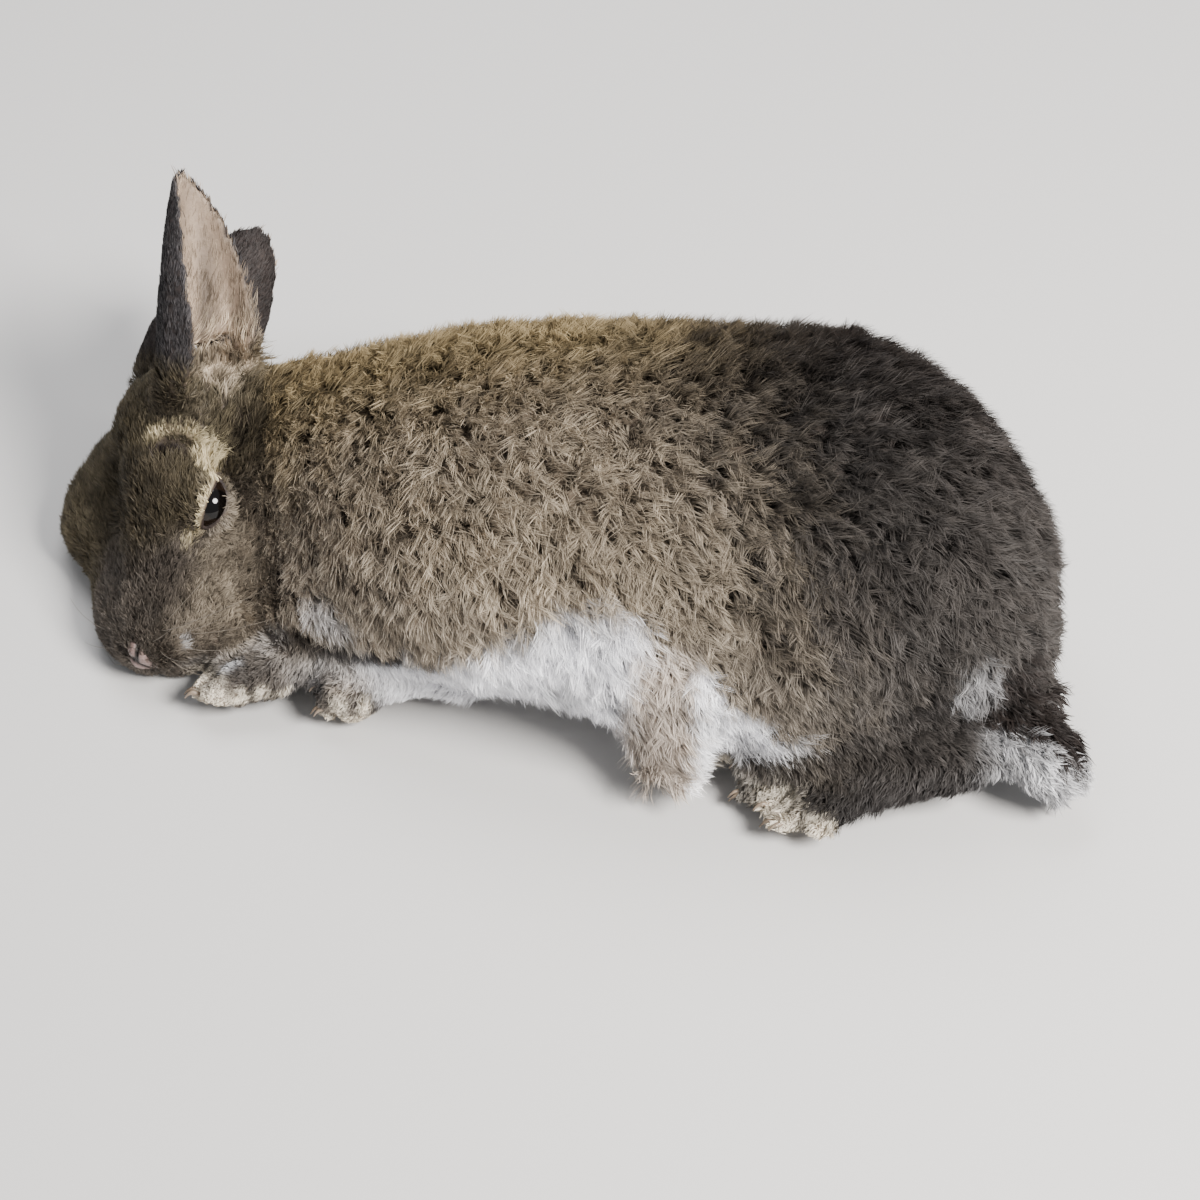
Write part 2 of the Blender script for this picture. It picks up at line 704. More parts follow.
def build_skin_mesh(shape, regions):
    mesh = remesh(merged_flesh(SWELL), shape.skin_cell)
    sink_below_coat(mesh, regions)
    mesh = remesh(mesh, shape.skin_cell)
    co, pairs = coords(mesh), edges(mesh)
    broad = share_of(regions.shares(co, WIDE), *BARREL, "tail", *SHANKS)
    put_coords(mesh, relax(co, pairs, 14, (0.5 * broad ** 2)[:, None]))
    # finer faces round the eyes' openings, the nose and the mouth
    eyes = [EyeFrame(node) for node in EYES]
    spots = [(eye.centre + eye.axes[2] * shape.eye_radius, reach) for eye in eyes for reach in (0.013, 0.012)]
    refine(mesh, spots + [(HEAD.place(46, 0, -14), 0.013), (HEAD.place(48, 0, -12), 0.010)])
    co, pairs = coords(mesh), edges(mesh)
    co = shape_lids(relax(co, pairs, 2, 0.4), shape)
    near_eye = np.any([np.linalg.norm(co - eye.centre, axis=1) < LID_ZONE for eye in eyes], axis=0)
    co = relax(co, pairs, 2, (0.25 * near_eye)[:, None])
    put_coords(mesh, co)
    toes, gaps, _ = toe_facts(co)
    co = co - normals(mesh) * (groove_depth(co) + TOE_GROOVE * gaps - TOE_SWELL * (toes - gaps))[:, None]
    co[:, 2] = np.maximum(co[:, 2], SKIN_CLEAR)
    put_coords(mesh, co)
    shade_smooth(mesh)
    return mesh


# ---------- markings ----------
BROAD_PATCH = 20  # mm: a patch with a radius of this or more has a softer edge
# patches of the coat, in the row frame, mm: middle, radius, colour and strength
PATCHES = [
    ((-110, -30, 17), (14, 7, 6), "foot", 0.55),
    ((-119, -31.5, 11.5), 2.6, "toes", 0.9), ((-113.6, -35, 11.5), 2.7, "toes", 0.9),
    ((-106.6, -35.5, 11.5), 3.0, "toes", 0.95), ((-100, -35.8, 12), 2.9, "toes", 0.95),
    ((-94, -35.3, 11.5), 2.3, "toes", 0.7), ((-116.4, -33.6, 12), (1.1, 2, 4), "rim", 0.85),
    ((-110.1, -35.3, 12), (1.2, 2, 4), "rim", 0.85), ((-103.3, -35.6, 12.5), (1.1, 2, 4), "rim", 0.8),
    ((-97, -35.5, 12.5), (1.0, 2, 4), "rim", 0.75), ((-111.6, -28.2, 18.3), (5, 2.5, 2.2), "belly", 0.4),
    ((-88, -34, 12), (3, 5, 6), "rim", 0.7),
    ((-75, -36.1, 20), (7, 5, 5), "ear_wisp", 0.2), ((-84, -35, 9.5), 2.6, "toes", 0.9),
    ((-77, -38.2, 12), (3, 4, 5), "toes", 1.0), ((-73.3, -37.3, 17), 2.6, "toes", 0.5),
    ((-69.5, -38, 12), (2.4, 4, 5), "toes", 1.0), ((-80, -35, 18), (4, 3, 3.5), "rim", 0.85),
    ((-83.5, -35.5, 14), (2.2, 3, 3), "rim", 0.8), ((-81.3, -37, 9), 1.5, "rim", 0.8),
    ((-73.2, -38.4, 11), (1.1, 3, 4), "rim", 0.85), ((-66.3, -37, 12), (1.1, 3, 4), "rim", 0.6),
    ((84, 34, 86), (58, 46, 44), "rim", 0.72), ((118, -5, 62), (34, 48, 52), "rim", 0.3),
    ((-79, -29, 38.5), (9, 12, 5), "belly", 0.5), ((57.5, -83, 11), (1.2, 4, 5), "rim", 0.7),
]


def chest_edge(x):
    """Height of the chest fur's lower edge over the right foreleg, mm."""
    return 29.5 + 0.2 * (x + 73)


def blob(points, middle, radii, soft=0.5):
    """1 inside an oval, 0 outside, with a soft edge."""
    far = np.linalg.norm((points - np.array(middle)) / np.array(radii), axis=1)
    return fade(1 - soft, 1 + soft, far)


class Marks:
    """The coat's colour at points of the row frame, painted layer upon layer. Places are in mm."""

    def __init__(self, points, shares, colours):
        self.points, self.shares, self.colours = points, shares, colours
        self.place = points / MM
        self.x, self.y, self.z = x, y, z = self.place.T
        self.head = HEAD.local(points)
        self.ragged = 2.5 * np.sin(0.31 * x + 0.17 * z) + 2.0 * np.sin(0.23 * y - 0.41 * x + 1.3)
        self.colour = np.tile(np.array(colours.flank), (len(points), 1))

    def paint(self, tint, amount):
        self.colour = tinted(self.colour, getattr(self.colours, tint), amount)

    def part(self, *names):
        return share_of(self.shares, *names)

    def body(self):
        """Golden brown along the back, tan on the flank, dark on the rump and thigh."""
        x, y, z, ragged = self.x, self.y, self.z, self.ragged
        self.paint("low_flank", fade(45, 85, z + ragged))
        self.paint("back", smooth(-12, 30, y + ragged) * (1 - 0.5 * smooth(20, 70, x)))
        dark = smooth(4, 92, x + 0.45 * (z - 60) + ragged)
        self.paint("rump", dark + 0.9 * dark * (1 - dark) * wave(self.points, 0.011, 31))
        self.paint("rump", 0.45 * self.part("thigh_left") * smooth(40, 70, x))

    def belly(self):
        """The white belly, the cream fold before the thigh and the white wedge behind it."""
        x, y, z, ragged = self.x, self.y, self.z, self.ragged
        belly_top = 28 + 42 * bell(x - 2, 38) + ragged
        self.paint("belly", fade(-4, 5, z - belly_top) * fade(-38, -26, y) * fade(24, 32, x))
        self.paint("belly", fade(-25, -5, y) * fade(10, 18, z) * fade(60, 80, x))
        fold = fade(-60, -54, y) * smooth(6, 13, x + 0.12 * (50 - z)) * fade(25, 30, x) * fade(56, 68, z)
        self.paint("fold", fold)
        wedge_top = 57 - 1.03 * (x - 27) - ragged
        over_foot = smooth(-2, 2, z - 14 - 0.5 * (x - 32))
        wedge = smooth(26, 30, x) * fade(-3, 4, z - wedge_top) * fade(-52, -44, y) * over_foot
        self.paint("belly", wedge * (1 - self.part("foot_left", "shank_left")))
        self.paint("foot", 0.7 * smooth(38, 44, x) * (1 - over_foot) * fade(-58, -50, y))

    def chest(self):
        """The chest's fur ends in a dark line over the white foreleg."""
        under = fade(-50, -42, self.x) * fade(-24, -18, self.y) * self.part("trunk", "neck")
        height = self.z - chest_edge(self.x)
        self.paint("belly", under * fade(-3, 0, height) * smooth(-66, -58, self.x))
        self.paint("rim", 0.92 * under * fade(0.5, 3, height) * smooth(-7, -4, height))

    def legs(self):
        """Dark legs with cream toes, but a white right foreleg."""
        hind = self.part(*HIND_FEET)
        self.paint("rump", self.part(*SHANKS))
        self.paint("foot", hind)
        self.paint("face", self.part("forearm_left", "paw_left"))
        self.paint("belly", 0.93 * self.part("forearm_right"))
        self.paint("face", self.part("paw_right"))
        toes, gaps, _ = toe_facts(self.points)
        pale = (1 - 0.85 * hind * smooth(12, 17, self.z)) * (1 - 0.9 * hind * fade(43, 47, self.x))
        self.paint("toes", toes * (0.25 + 0.75 * smooth(0.2, 0.6, toes)) * pale)
        self.paint("rim", (0.95 - 0.6 * hind) * gaps)

    def patches(self):
        for middle, radius, tint, strength in PATCHES:
            soft = 0.5 if np.max(radius) < BROAD_PATCH else 0.8
            self.paint(tint, strength * blob(self.place, middle, radius, soft))

    def tail(self):
        """White below, dark above, with a pale and a dark patch beside its root."""
        x, y, z = self.x, self.y, self.z
        tail = self.part("tail")
        white_top = 32 - 0.15 * (x - 116) - 0.8 * np.maximum(x - 126, 0) - 0.3 * (y + 70)
        above = smooth(-1.5, 2, z - white_top)
        self.paint("belly", tail * (1 - above))
        self.paint("rim", 0.5 * tail * (1 - above))
        beside = smooth(106, 112, x) * fade(-58, -50, y) * fade(46, 56, z)
        self.paint("rim", 0.8 * np.maximum(tail, beside) * above)
        self.paint("belly", 0.2 * blob(self.place, (107, -63, 47), (6, 9, 10)))
        self.paint("rump", 0.35 * blob(self.place, (99, -64, 62), (8, 9, 8)))

    def face(self):
        """Olive crown, paler cheek and chin, and the small marks round the eye and the brow."""
        face = self.part(*FACE)
        forward, left, up = self.head.T
        self.paint("face", face)
        self.paint("crown", face * smooth(-4.5, 7.5, up - 0.3 * forward))
        self.paint("crown", face * fade(-30, -20, left))
        cheek = smooth(12, 20, left) * fade(-10.5, -0.5, up) * (1 - 0.5 * smooth(24, 34, forward))
        self.paint("cheek", face * cheek)
        self.paint("cheek", 0.25 * face * blob(self.head, (34, 10, -14.5), (14, 9, 8)))
        self.paint("belly", 0.8 * face * fade(-32.5, -27.5, up) * smooth(20, 28, forward))
        for line, half, tint, strength in STROKES:
            self.paint(tint, strength * face * fade(0.5 * half, 1.5 * half, line_distance(self.head, line)))
        for middle, radius, tint, strength in SPOTS:
            self.paint(tint, strength * face * head_spot(self.head, middle, radius))

    def ears(self):
        """Dark backs, and pale wisps that run out of the raised ear's trough over the crown."""
        self.paint("ear_back", self.part(*EARS))
        self.paint("rim", 0.85 * self.part("ear_right"))
        for line, half in WISPS:
            strength = 0.4 * self.part(*FACE)
            self.paint("ear_wisp", strength * fade(0.6 * half, 1.3 * half, line_distance(self.head, line)))

    def painted(self):
        layers = (self.body, self.belly, self.chest, self.legs, self.patches, self.tail, self.face, self.ears)
        for layer in layers:
            layer()
        return self.colour


# ---------- materials ----------
class Nodes:
    """Adds and joins nodes in one material."""

    def __init__(self, name):
        self.material = bpy.data.materials.new(name)
        self.material.use_nodes = True
        self.tree = self.material.node_tree
        self.shader = self.tree.nodes["Principled BSDF"]

    def feed(self, socket, value):
        """Joins a socket to a node's output, or sets it to a number or a colour."""
        if isinstance(value, bpy.types.NodeSocket):
            self.tree.links.new(value, socket)
        else:
            socket.default_value = (*value, 1) if isinstance(value, tuple) else value

    def add(self, kind, **values):
        node = self.tree.nodes.new(kind)
        for key, value in values.items():
            setattr(node, key, value)
        return node

    def attribute(self, name, output="Fac"):
        return self.add("ShaderNodeAttribute", attribute_name=name).outputs[output]

    def noise(self, scale, detail=3.0):
        node = self.add("ShaderNodeTexNoise")
        self.feed(node.inputs["Scale"], scale)
        self.feed(node.inputs["Detail"], detail)
        self.feed(node.inputs["Vector"], self.add("ShaderNodeTexCoord").outputs["Object"])
        return node.outputs["Fac"]

    def span(self, value, low, high, to_low=0.0, to_high=1.0):
        """A value carried over from one span of numbers to another, and held inside it."""
        node = self.add("ShaderNodeMapRange")
        names = ("Value", "From Min", "From Max", "To Min", "To Max")
        for key, number in zip(names, (value, low, high, to_low, to_high)):
            self.feed(node.inputs[key], number)
        return node.outputs["Result"]

    def maths(self, operation, one, two):
        node = self.add("ShaderNodeMath", operation=operation)
        self.feed(node.inputs[0], one)
        self.feed(node.inputs[1], two)
        return node.outputs["Value"]

    def times(self, one, two):
        return self.maths("MULTIPLY", one, two)

    def mix(self, factor, one, two, blend="MIX"):
        node = self.add("ShaderNodeMix", data_type="RGBA", blend_type=blend)
        for key, value in ((0, factor), (6, one), (7, two)):  # a colour mix's own sockets
            self.feed(node.inputs[key], value)
        return node.outputs[2]

    def bump(self, height, strength, distance):
        node = self.add("ShaderNodeBump")
        for key, value in (("Height", height), ("Strength", strength), ("Distance", distance)):
            self.feed(node.inputs[key], value)
        self.feed(self.shader.inputs["Normal"], node.outputs["Normal"])

    def finish(self, colour, **values):
        """Sets the shader's colour and its other inputs."""
        self.feed(self.shader.inputs["Base Color"], colour)
        for key, value in values.items():
            self.feed(self.shader.inputs[key.replace("_", " ")], value)
        return self.material


def coat_material():
    """Hairs: dark at the root, the marking's colour along them, pale or dark at the tips."""
    nodes = Nodes("coat")
    mark = nodes.attribute("mark", "Color")
    along = nodes.attribute("along")
    grey = nodes.add("ShaderNodeRGBToBW")
    nodes.feed(grey.inputs["Color"], mark)
    pale = nodes.span(grey.outputs["Val"], 0.3, 0.75)
    root = nodes.maths("ADD", nodes.times(pale, 0.75), 0.19)
    rise = nodes.span(along, 0.15, 0.8)
    shade = nodes.maths("ADD", root, nodes.times(rise, nodes.maths("SUBTRACT", 1.0, root)))
    # each lock is ticked: its tips are paler or darker than its mark, least so in the white coat
    reach = nodes.maths("SUBTRACT", 1.0, nodes.times(pale, 0.8))
    tipped = nodes.times(nodes.span(along, 0.55, 1.0, 0.25, 1.0), reach)
    ticked = nodes.span(nodes.attribute("tick"), 0.0, 1.0, -0.62, 0.75)
    tip = nodes.maths("ADD", 1.0, nodes.times(tipped, ticked))
    uneven = nodes.span(nodes.noise(70.0), 0.3, 0.7, 0.8, 1.2)
    value = nodes.times(nodes.times(shade, tip), uneven)
    joined = nodes.add("ShaderNodeCombineColor")
    for socket in joined.inputs:
        nodes.feed(socket, value)
    colour = nodes.mix(1.0, mark, joined.outputs["Color"], "MULTIPLY")
    return nodes.finish(colour, Roughness=0.6, Specular_IOR_Level=0.22)


def skin_material():
    """Under the coat a darker tone of the marking's colour, and the hide's own colour where no coat grows."""
    nodes = Nodes("skin")
    shaded = nodes.mix(1.0, nodes.attribute("mark", "Color"), (0.42, 0.4, 0.39), "MULTIPLY")
    base = nodes.mix(nodes.attribute("bare"), shaded, nodes.attribute("hide", "Color"))
    pores = nodes.noise(900.0, 4.0)
    nodes.bump(pores, 0.35, 0.0004)
    colour = nodes.mix(nodes.span(pores, 0.35, 0.65, 0.0, 0.25), base, (0.1, 0.07, 0.06))
    return nodes.finish(colour, Roughness=0.6, Specular_IOR_Level=0.3)


# ---------- the skin's facts that the coat reads ----------
class SkinFacts:
    """What each of the skin's vertices knows: place, normal, shares, lie, length and markings."""

    def __init__(self, mesh, regions, colours, shape):
        self.co, self.normal = coords(mesh), normals(mesh)
        outer = self.co + self.normal * (blended(regions.shares(self.co), "depth") * MM)[:, None]
        self.shares = regions.shares(outer, NARROW)
        self.wide = regions.shares(outer, WIDE)
        self.toes, _, self.toe_way = toe_facts(self.co)
        part = self.shorten(shape)
        self.depth = part * fur_measure("depth", self.co, self.shares, self.wide)
        self.hair = part * fur_measure("hair", self.co, self.shares, self.wide)
        self.inner = self.inner_ear(edges(mesh))
        self.streak = self.ear_streaks()
        self.lie = self.lie_of_coat()
        self.bare = self.bareness(shape)
        self.mark = self.markings(colours)

    def lid_gap(self, eye, shape, reach):
        """Distance of the vertices from an eye's lid edge, or 1 if they lie beyond reach of its centre."""
        local = eye.local(self.co)
        near = (local[:, 2] > 0) & (np.linalg.norm(local, axis=1) < reach)
        return np.where(near, opening_distance(local, shape, eye), 1.0)

    def shorten(self, shape):
        """How much shorter the fur is at the eyes, face creases, ear roots, chest's end and toes."""
        part = np.ones(len(self.co))
        self.eye_way = np.zeros_like(self.co)
        for node in EYES:
            eye = EyeFrame(node)
            gap = self.lid_gap(eye, shape, 0.017)
            part = np.minimum(part, 0.3 + 0.7 * smooth(0.0005, 0.005, gap))
            off = eye.local(self.co) * (0.3, 1, 0)
            self.eye_way += fade(0.0015, 0.0055, gap)[:, None] * (unit(off) @ eye.axes)
        head = HEAD.local(self.co)
        for line in (BROW, EAR_FOLD):
            part = np.minimum(part, 0.3 + 0.7 * smooth(1.0, 4.5, line_distance(head, line)))
        ears = share_of(self.wide, *EARS) * share_of(self.shares, "head", "neck")
        part = part * (1 - 0.6 * smooth(0.1, 0.4, ears))
        # the chest's fur ends over the right foreleg
        x, y, z = (self.co / MM).T
        over = fade(-48, -38, x) * fade(-22, -14, y) * share_of(self.wide, "trunk", "neck")
        part = part * (1 - 0.65 * over * fade(-2, 8, z - chest_edge(x)))
        return part * (1 - 0.6 * self.toes)

    def inner_ear(self, pairs):
        """1 where the skin faces into an ear's trough. Also keeps how far up its ear each vertex is."""
        inner, self.ear_run = np.zeros(len(self.co)), np.zeros(len(self.co))
        for node in EARS:
            ear = EarFrame(node)
            from_root = self.co - ear.root
            run = from_root @ ear.axis / EAR_LENGTH
            middle = (ear.half_width(run) + MM)[:, None] * ear.opening - ear.off_axis(from_root)
            facing = (self.normal * unit(middle)).sum(1)
            own = share_of(self.shares, node)
            inner = np.maximum(inner, own * smooth(0.3, 0.65, facing))
            self.ear_run = np.where(own > 0.3, run, self.ear_run)
        return smooth(0.4, 0.65, relax(inner[:, None], pairs, 4, 0.5)[:, 0])

    def ear_streaks(self):
        """Streaks of light and shade along the ears' insides: above 0 is lighter."""
        streak = np.zeros(len(self.co))
        for node in EARS:
            ear = EarFrame(node)
            place = (self.co - ear.root) @ ear.across / EAR_HALF
            edge = 1.6 * bell(place - EAR_PALE, 0.22) - 0.9 * bell(place + EAR_PALE, 0.4)
            fine = 1.3 * wave(ear.off_axis(self.co) + 0.06 * self.co, 0.006, 21)
            streak += share_of(self.shares, node) * (fine + edge - 0.5 * fade(0.2, 0.6, self.ear_run))
        return streak

    def streaked(self, tint, strength):
        """A colour with the streaks of the ears' insides."""
        return np.array(tint) * np.clip(1 + strength * self.streak[:, None], 0.4, 1.6)

    def lie_of_coat(self):
        """The way the hairs point, along the skin."""
        lie = unit(blended(self.shares, "lie")) + 0.6 * unit(blended(self.wide, "lie"))
        # over the barrel the coat also runs away from the spine
        down = np.cross((1.0, 0, 0), self.normal)
        side = np.clip(2 * np.cross(np.array(SPINE_SIDE), self.normal)[:, 0], -1, 1)
        steep = 1.0 + 1.3 * fade(0.0, 0.06, self.co[:, 0])
        lie = lie + down * (steep * side * share_of(self.wide, *BARREL))[:, None]
        # on the head it runs back from the nose
        away = unit(HEAD.local(self.co) - np.array(HAIR_ORIGIN)) @ HEAD.turn
        face = share_of(self.wide, *FACE)[:, None]
        lie = unit(lie) * (1 - face) + away * face
        lie = lie + 2.5 * self.eye_way + 1.5 * self.toe_way
        return unit(lie - self.normal * (lie * self.normal).sum(1, keepdims=True))

    def bareness(self, shape):
        """1 where no hair grows: in the eyes' openings, the nose and the grooves."""
        bare = np.zeros(len(self.co))
        for node in EYES:
            bare = np.maximum(bare, fade(0.0004, 0.0009, self.lid_gap(EyeFrame(node), shape, 0.014)))
        head = HEAD.local(self.co)
        bare = np.maximum(bare, blob(head, NOSE_PAD, np.array(PAD_RADII) * 0.8, 0.25))
        return np.maximum(bare, smooth(0.0005, 0.0009, groove_depth(self.co)) * (head[:, 0] > 30))

    def markings(self, colours):
        """The coat's colour, read where the hairs' outer parts lie, with the downy ears' own."""
        reach = 0.55 + 0.35 * share_of(self.wide, *FACE)
        run = reach * np.sqrt(np.maximum(self.hair ** 2 - self.depth ** 2, 0))
        seen = self.co + self.normal * self.depth[:, None] + self.lie * run[:, None]
        mark = Marks(seen, self.shares, colours).painted()
        mark = tinted(mark, self.streaked(colours.ear_down, 0.26), self.inner)
        ear_root = share_of(self.shares, *EARS) * (1 - self.inner) * fade(0.17, 0.27, self.ear_run)
        mark = tinted(mark, colours.crown, ear_root)
        # pale hairs stand out of the raised ear's root, and a pale line runs along the troughs' edges
        wisps = 0.3 + 0.7 * smooth(-0.2, 0.5, wave(self.co * (1, 0.35, 0.35), 0.0035, 33))
        mark = tinted(mark, colours.ear_wisp, 0.9 * wisps * blob(seen / MM, (-113, 56, 68), (10, 11, 10)))
        edge = 2.4 * self.inner * (1 - self.inner) * smooth(0.2, 0.35, self.ear_run)
        return tinted(mark, colours.ear_wisp, edge)


# ---------- the coat ----------
ROOT_DEPTH = 0.0003  # how far the hairs' roots lie under the skin
HAIR_CLEAR = 0.0003  # height of the lowest hairs above the floor
UV_PATCH = 0.003  # size of a strip on the map OFBake


def scatter(mesh, weight, count, draw):
    """Random places on a mesh's triangles, thicker where the vertices' weight is more: the corners of each
    place's triangle, their loops, and how much of each corner is in it."""
    mesh.calc_loop_triangles()
    tris, loops = (read(mesh.loop_triangles, key, 3, int) for key in ("vertices", "loops"))
    a, b, c = coords(mesh)[tris].transpose(1, 0, 2)
    area = np.linalg.norm(np.cross(b - a, c - a), axis=1) * weight[tris].mean(1)
    chosen = np.searchsorted(np.cumsum(area) / area.sum(), draw.random(count))
    first, second = draw.random((2, count))
    flip = first + second > 1
    first, second = np.where(flip, 1 - first, first), np.where(flip, 1 - second, second)
    return tris[chosen], loops[chosen], np.column_stack([1 - first - second, first, second])


def at_places(values, corners, mix):
    picked = values[corners]
    return (picked * mix.reshape(mix.shape + (1,) * (picked.ndim - 2))).sum(1)


@dataclass
class LockPlan:
    """Numbers for one kind of lock."""
    hairs: int  # strips in each lock
    width: float  # of one strip, m
    spread: float  # of the roots in a lock, m
    parts: int  # lengths that a strip is made of
    jitter: float  # how far directions stray, radians
    curl: float  # sideways sweep as a part of the length
    lift: float = 1.0  # height as a part of the coat's depth
    length: float = 1.0  # as a part of the hairs' length


def strip_mesh(name, points):
    """One mesh of hair strips. points holds each strip's corners, two at each level and one at its tip."""
    total, per = points.shape[:2]
    faces = [face for a in range(0, per - 3, 2) for face in ((a, a + 1, a + 3), (a, a + 3, a + 2))]
    faces = np.array(faces + [(per - 3, per - 2, per - 1)])
    tris = (np.arange(total)[:, None, None] * per + faces).reshape(-1, 3)
    mesh = bpy.data.meshes.new(name)
    mesh.vertices.add(total * per)
    mesh.vertices.foreach_set("co", points.ravel())
    mesh.loops.add(tris.size)
    mesh.loops.foreach_set("vertex_index", tris.ravel())
    mesh.polygons.add(len(tris))
    mesh.polygons.foreach_set("loop_start", np.arange(0, tris.size, 3))
    mesh.update(calc_edges=True)
    shade_smooth(mesh)
    return mesh, tris


def grow_locks(name, places, plan, facts, uvs, draw):
    """One joined mesh of locks. Each lock is a few thin strips that gather towards its tip."""
    corners, loops, mix = places
    values = (facts.co, facts.normal, facts.lie, facts.hair, facts.depth, facts.mark)
    root, normal, lie, hair, depth, mark = (at_places(value, corners, mix) for value in values)
    normal, lie = unit(normal), unit(lie)
    uv = at_places(uvs, loops, mix)
    count = len(root)
    stray = 0.6 * wave(root, 0.022, 11) + 0.6 * wave(root, 0.009, 12) + draw.normal(0, 0.45, count)
    stray = plan.jitter * stray
    way = lie * np.cos(stray)[:, None] + np.cross(normal, lie) * np.sin(stray)[:, None]
    length = hair * plan.length * draw.uniform(0.8, 1.15, count)
    bend = plan.curl * (draw.normal(0, 0.7, count) + 0.5 * wave(root, 0.012, 13))
    uneven = 1 + 0.28 * wave(root, 0.008, 14) + draw.normal(0, 0.12, count)
    rise = depth * plan.lift * np.clip(uneven, 0.5, 1.3)
    # each lock's strips
    pick = np.repeat(np.arange(count), plan.hairs)
    total = len(pick)
    off = draw.normal(0, plan.spread, (total, 2))
    way, normal, root, uv, mark = way[pick], normal[pick], root[pick], uv[pick], mark[pick]
    side = np.cross(normal, way)
    long = length[pick] * draw.uniform(0.72, 1.08, total)
    rise = rise[pick] * draw.uniform(0.72, 1.04, total)
    bend = bend[pick] + draw.normal(0, 0.05, total)
    clump = 0.5 + 0.3 * wave(root, 0.006, 15) + 0.22 * wave(root, 0.015, 16) + draw.normal(0, 0.12, total)
    tick = np.clip(clump * 0.6 + draw.random(count)[pick] * 0.6 - 0.1, 0, 1)
    twist = draw.normal(0, 0.55, total)
    across = side * np.cos(twist)[:, None] + normal * np.sin(twist)[:, None]
    run = np.sqrt(np.maximum(long ** 2 - rise ** 2, (0.45 * long) ** 2))
    hook = plan.curl * draw.normal(0, 0.55, count)[pick]
    width = plan.width * draw.uniform(0.75, 1.25, total)
    # from the root up, level by level
    levels = np.linspace(0, 1, plan.parts + 1)
    points = []
    for t in levels:
        gather = 1 - 0.85 * t ** 1.1
        sweep = bend * math.sin(math.pi * 0.8 * t) * t + hook * t ** 3
        height = rise * (1 - (1 - t) ** 1.8) - ROOT_DEPTH * (1 - t)
        middle = root + way * (run * t + off[:, 0] * 0.6)[:, None]
        middle = middle + side * (off[:, 1] * gather + sweep * long)[:, None] + normal * height[:, None]
        half = across * (width * (1 - 0.35 * t if t else 0.8) / 2)[:, None]
        points += [middle - half, middle + half] if t < 1 else [middle]
    points = np.stack(points, 1)
    points[..., 2] = np.maximum(points[..., 2], HAIR_CLEAR)
    mesh, tris = strip_mesh(name, points)
    per = points.shape[1]
    levels = np.repeat(levels, 2)[:per]
    put_attribute(mesh, "mark", np.repeat(mark, per, 0))
    # short hairs have no dark root
    start = 0.5 * fade(0.003, 0.009, hair[pick])[:, None]
    put_attribute(mesh, "along", (start + (1 - start) * levels).ravel())
    put_attribute(mesh, "tick", np.repeat(tick, per))
    # each strip has a small patch of the skin's own map, at its root's place
    local = UV_PATCH * np.column_stack([0.5 * (np.arange(per) % 2) - 0.25, levels - 0.5])
    spots = (uv[:, None] + local).reshape(-1, 2)
    mesh.uv_layers.new(name="OFBake").data.foreach_set("uv", spots[tris.ravel()].ravel())
    return new_object(name, mesh)


def unwrap(piece):
    """An unwrap of the skin's own shape, as a UV map named OFBake."""
    piece.data.uv_layers.new(name="OFBake")
    bpy.context.view_layer.objects.active = piece
    for other in bpy.context.selected_objects:
        other.select_set(False)
    piece.select_set(True)
    bpy.ops.object.mode_set(mode="EDIT")
    bpy.ops.mesh.select_all(action="SELECT")
    bpy.ops.uv.smart_project(angle_limit=math.radians(66), island_margin=0.002)
    bpy.ops.object.mode_set(mode="OBJECT")
    return read(piece.data.uv_layers["OFBake"].data, "uv", 2)


# ---------- operators ----------
STATE = {}  # the skin, its facts and its map, which the operators after the skin's read


class RABBIT_OT_skin(bpy.types.Operator):
    """Make the one skin under the coat, with its lids, nostrils and mouth"""
    bl_idname = "rabbit.skin"
    bl_label = "Skin"

    def execute(self, context):
        shape, colours = settings("shape"), settings("colours")
        regions = Regions()
        mesh = build_skin_mesh(shape, regions)
        piece = new_object("skin", mesh)
        facts = SkinFacts(mesh, regions, colours, shape)
        hide = np.tile(np.array(colours.rim), (len(facts.co), 1))
        hide = tinted(hide, colours.nose, blob(HEAD.local(facts.co), NOSE_PAD, PAD_RADII, 0.3))
        hide = tinted(hide, facts.streaked(colours.ear_inside, 0.24), facts.inner)
        put_attribute(mesh, "mark", facts.mark)
        put_attribute(mesh, "hide", hide)
        put_attribute(mesh, "bare", np.maximum(facts.bare, facts.inner))
        STATE.update(facts=facts, uvs=unwrap(piece), skin=piece)
        finish_piece(piece, skin_material(), NAMES)
        return {"FINISHED"}


def eye_material(name):
    """A dark eye: pupil, flecked iris and a darker edge, each where it looks outwards by so much."""
    nodes = Nodes(name)
    gaze = nodes.attribute("gaze")
    flecks = nodes.span(nodes.noise(700.0), 0.35, 0.65, 0.0, 0.6)
    iris = nodes.mix(flecks, tuple(settings("colours").iris), srgb(16, 10, 7))
    pupil = nodes.mix(nodes.span(gaze, 0.86, 0.9), iris, srgb(4, 3, 3))
    edge = nodes.mix(nodes.span(gaze, 0.35, 0.5, 1.0, 0.0), pupil, srgb(10, 7, 6))
    return nodes.finish(edge, Roughness=0.07, IOR=1.38)


CORNEA = 0.0005  # how far the middle of an eyeball bulges


